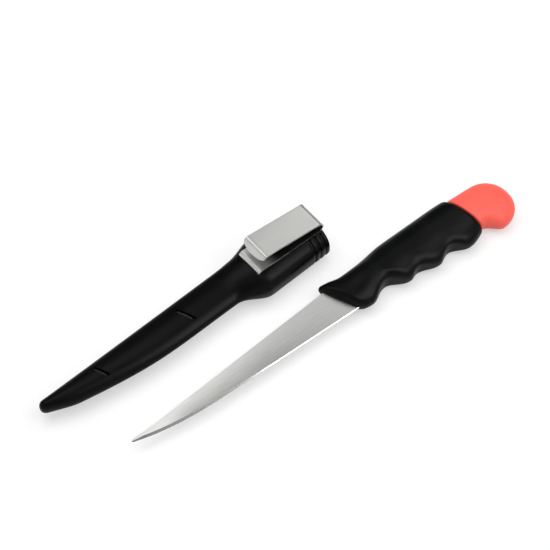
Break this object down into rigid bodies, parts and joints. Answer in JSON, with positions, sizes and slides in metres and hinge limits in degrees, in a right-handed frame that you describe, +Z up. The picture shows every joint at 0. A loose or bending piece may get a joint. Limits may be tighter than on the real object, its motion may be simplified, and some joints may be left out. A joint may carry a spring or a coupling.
{
  "type": "sashimi knife with sheath",
  "caption": "Slim fixed-blade sashimi knife with a finger-grooved handle and a float butt, lying drawn beside its moulded sheath with a belt clip.",
  "frame": {"origin": "middle of the bounding box of the pair, on the surface that both lie on", "axes": "+X from the points to the butt, +Y from the knife to the sheath (the spine side of both), +Z up from the surface"},
  "size_m": [0.297, 0.0758, 0.0318],
  "materials": {
    "satin_steel": "satin, brushed along the blade",
    "spring_steel": "fine brushed",
    "black_grip": "smooth moulded, satin",
    "black_sheath": "smooth moulded, satin",
    "coral_float": "smooth moulded, soft satin"
  },
  "bodies": {
    "sheath": {"sheath_body": "black_sheath", "clip_base": "spring_steel", "clip_rivet_1": "satin_steel", "clip_rivet_2": "satin_steel"},
    "knife": {"blade": "satin_steel", "handle": "black_grip", "float_butt": "coral_float"},
    "clip_leaf": {"clip_leaf": "spring_steel"}
  },
  "joints": [
    {"name": "knife_draw", "type": "slide", "parent": "sheath", "child": "knife", "axis": [0.9999, 0.01, 0], "range_m": [-0.009, 0.16]},
    {"name": "clip_flex", "type": "hinge", "parent": "sheath", "child": "clip_leaf", "pos_m": [0.0405, 0.0231, 0.0239], "axis": [-0.0698, 0.9976, 0], "range_deg": [0, 8], "stiffness_Nm_per_rad": 2}
  ]
}
